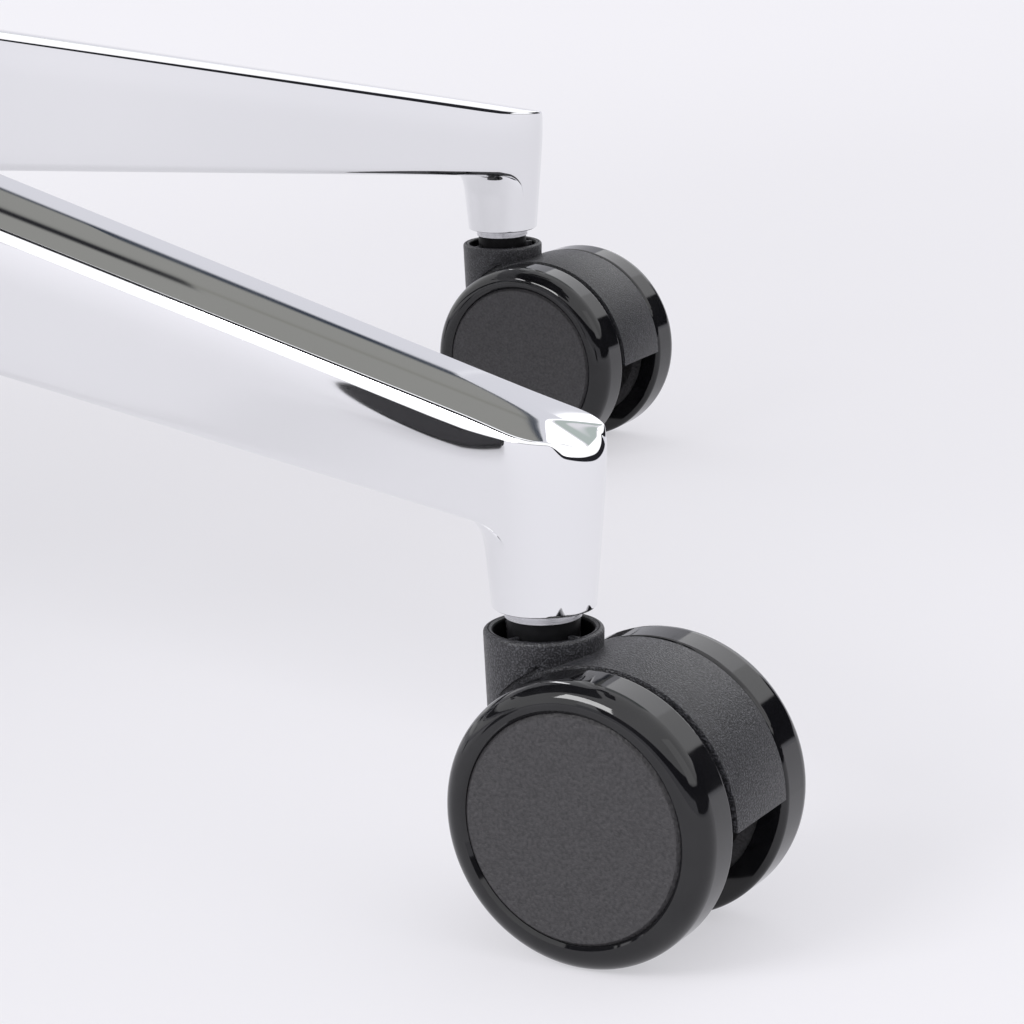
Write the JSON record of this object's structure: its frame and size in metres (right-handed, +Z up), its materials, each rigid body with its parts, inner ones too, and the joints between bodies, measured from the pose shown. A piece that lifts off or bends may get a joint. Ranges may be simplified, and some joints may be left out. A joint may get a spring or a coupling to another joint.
{
  "type": "office chair",
  "caption": "Upholstered task chair with height-adjustable arms and reclining back on a chrome star base with black hooded twin-wheel casters.",
  "frame": {"origin": "on the floor under the column axis", "axes": "+Z up along the column, -Y towards the sitter's front, +X to the sitter's left"},
  "size_m": [0.6472, 0.6896, 0.9798],
  "materials": {
    "chrome": "bright chrome plating",
    "steel": "turned steel",
    "dark_steel": "black powder coat",
    "cylinder": "gloss black",
    "hood_plastic": "finely grained black nylon",
    "wheel_plastic": "textured black nylon",
    "tread": "smooth gloss black polyurethane",
    "bush_plastic": "moulded acetal",
    "rubber": "moulded rubber",
    "moulded": "fine moulded grain",
    "fabric": "woven upholstery over moulded foam",
    "soft_pad": "soft-touch integral foam"
  },
  "bodies": {
    "base": {"base_hub": "chrome", "base_legs": "chrome", "stem_sockets": "bush_plastic", "caster_stems": "steel", "stem_grip_rings": "steel", "column_tube": "cylinder", "column_guide_bush": "bush_plastic", "piston_rod": "steel", "thrust_bearing": "steel", "column_clip": "steel"},
    "lift": {"gas_cylinder": "cylinder"},
    "seat": {"mechanism_housing": "dark_steel", "tilt_pin": "steel", "tilt_springs": "rubber", "seat_pan": "moulded", "seat_cushion": "fabric", "seat_bolts": "steel", "arm_bracket_left": "moulded", "arm_bracket_right": "moulded", "arm_bolts": "steel"},
    "height_lever": {"height_lever": "moulded"},
    "tilt_lever": {"tilt_lever": "moulded"},
    "tension_knob": {"tension_knob": "moulded"},
    "back_support": {"back_spine": "dark_steel"},
    "backrest": {"back_shell": "moulded", "back_cushion": "fabric"},
    "arm_left": {"arm_post_left": "moulded", "arm_pad_left": "soft_pad"},
    "arm_right": {"arm_post_right": "moulded", "arm_pad_right": "soft_pad"},
    "caster_1": {"caster_1_hood": "hood_plastic", "caster_1_axle": "steel"},
    "caster_1_left": {"caster_1_left_wheel": "wheel_plastic", "caster_1_left_tread": "tread"},
    "caster_1_right": {"caster_1_right_wheel": "wheel_plastic", "caster_1_right_tread": "tread"},
    "caster_2": {"caster_2_hood": "hood_plastic", "caster_2_axle": "steel"},
    "caster_2_left": {"caster_2_left_wheel": "wheel_plastic", "caster_2_left_tread": "tread"},
    "caster_2_right": {"caster_2_right_wheel": "wheel_plastic", "caster_2_right_tread": "tread"},
    "caster_3": {"caster_3_hood": "hood_plastic", "caster_3_axle": "steel"},
    "caster_3_left": {"caster_3_left_wheel": "wheel_plastic", "caster_3_left_tread": "tread"},
    "caster_3_right": {"caster_3_right_wheel": "wheel_plastic", "caster_3_right_tread": "tread"},
    "caster_4": {"caster_4_hood": "hood_plastic", "caster_4_axle": "steel"},
    "caster_4_left": {"caster_4_left_wheel": "wheel_plastic", "caster_4_left_tread": "tread"},
    "caster_4_right": {"caster_4_right_wheel": "wheel_plastic", "caster_4_right_tread": "tread"},
    "caster_5": {"caster_5_hood": "hood_plastic", "caster_5_axle": "steel"},
    "caster_5_left": {"caster_5_left_wheel": "wheel_plastic", "caster_5_left_tread": "tread"},
    "caster_5_right": {"caster_5_right_wheel": "wheel_plastic", "caster_5_right_tread": "tread"}
  },
  "joints": [
    {"name": "lift_slide", "type": "slide", "parent": "base", "child": "lift", "axis": [0, 0, 1], "range_m": [0, 0.11]},
    {"name": "seat_swivel", "type": "hinge", "parent": "lift", "child": "seat", "pos_m": [0, 0, 0.2993], "axis": [0, 0, 1], "continuous": true},
    {"name": "back_recline", "type": "hinge", "parent": "seat", "child": "back_support", "pos_m": [0, 0.096, 0.3223], "axis": [-1, 0, 0], "range_deg": [0, 20], "stiffness_Nm_per_rad": 80, "springref_deg": -28.65},
    {"name": "back_height", "type": "slide", "parent": "back_support", "child": "backrest", "axis": [0, 0.1736, 0.9848], "range_m": [0, 0.06]},
    {"name": "height_lever_lift", "type": "hinge", "parent": "seat", "child": "height_lever", "pos_m": [-0.062, -0.034, 0.3293], "axis": [-1, 0, 0], "range_deg": [0, 12], "stiffness_Nm_per_rad": 0.8, "springref_deg": -20.05},
    {"name": "tilt_lever_lift", "type": "hinge", "parent": "seat", "child": "tilt_lever", "pos_m": [-0.062, 0.044, 0.3293], "axis": [1, 0, 0], "range_deg": [0, 12]},
    {"name": "tension_turn", "type": "hinge", "parent": "seat", "child": "tension_knob", "pos_m": [0, -0.098, 0.3243], "axis": [0, 1, 0], "range_deg": [0, 720]},
    {"name": "arm_left_height", "type": "slide", "parent": "seat", "child": "arm_left", "axis": [0, 0, 1], "range_m": [0, 0.07]},
    {"name": "arm_right_height", "type": "slide", "parent": "seat", "child": "arm_right", "axis": [0, 0, 1], "range_m": [0, 0.07]},
    {"name": "caster_1_swivel", "type": "hinge", "parent": "base", "child": "caster_1", "pos_m": [0, -0.3, 0.0566], "axis": [0, 0, 1], "continuous": true},
    {"name": "caster_1_left_roll", "type": "hinge", "parent": "caster_1", "child": "caster_1_left", "pos_m": [0.01512, -0.30341, 0.025], "axis": [0.2198, 0.9755, 0], "continuous": true},
    {"name": "caster_1_right_roll", "type": "hinge", "parent": "caster_1", "child": "caster_1_right", "pos_m": [0.01512, -0.30341, 0.025], "axis": [0.2198, 0.9755, 0], "continuous": true},
    {"name": "caster_2_swivel", "type": "hinge", "parent": "base", "child": "caster_2", "pos_m": [0.28532, -0.0927, 0.0566], "axis": [0, 0, 1], "continuous": true},
    {"name": "caster_2_left_roll", "type": "hinge", "parent": "caster_2", "child": "caster_2_left", "pos_m": [0.30044, -0.09611, 0.025], "axis": [0.2198, 0.9755, 0], "continuous": true},
    {"name": "caster_2_right_roll", "type": "hinge", "parent": "caster_2", "child": "caster_2_right", "pos_m": [0.30044, -0.09611, 0.025], "axis": [0.2198, 0.9755, 0], "continuous": true},
    {"name": "caster_3_swivel", "type": "hinge", "parent": "base", "child": "caster_3", "pos_m": [0.17634, 0.24271, 0.0566], "axis": [0, 0, 1], "continuous": true},
    {"name": "caster_3_left_roll", "type": "hinge", "parent": "caster_3", "child": "caster_3_left", "pos_m": [0.19146, 0.2393, 0.025], "axis": [0.2198, 0.9755, 0], "continuous": true},
    {"name": "caster_3_right_roll", "type": "hinge", "parent": "caster_3", "child": "caster_3_right", "pos_m": [0.19146, 0.2393, 0.025], "axis": [0.2198, 0.9755, 0], "continuous": true},
    {"name": "caster_4_swivel", "type": "hinge", "parent": "base", "child": "caster_4", "pos_m": [-0.17634, 0.24271, 0.0566], "axis": [0, 0, 1], "continuous": true},
    {"name": "caster_4_left_roll", "type": "hinge", "parent": "caster_4", "child": "caster_4_left", "pos_m": [-0.16121, 0.2393, 0.025], "axis": [0.2198, 0.9755, 0], "continuous": true},
    {"name": "caster_4_right_roll", "type": "hinge", "parent": "caster_4", "child": "caster_4_right", "pos_m": [-0.16121, 0.2393, 0.025], "axis": [0.2198, 0.9755, 0], "continuous": true},
    {"name": "caster_5_swivel", "type": "hinge", "parent": "base", "child": "caster_5", "pos_m": [-0.28532, -0.0927, 0.0566], "axis": [0, 0, 1], "continuous": true},
    {"name": "caster_5_left_roll", "type": "hinge", "parent": "caster_5", "child": "caster_5_left", "pos_m": [-0.2702, -0.09611, 0.025], "axis": [0.2198, 0.9755, 0], "continuous": true},
    {"name": "caster_5_right_roll", "type": "hinge", "parent": "caster_5", "child": "caster_5_right", "pos_m": [-0.2702, -0.09611, 0.025], "axis": [0.2198, 0.9755, 0], "continuous": true}
  ]
}
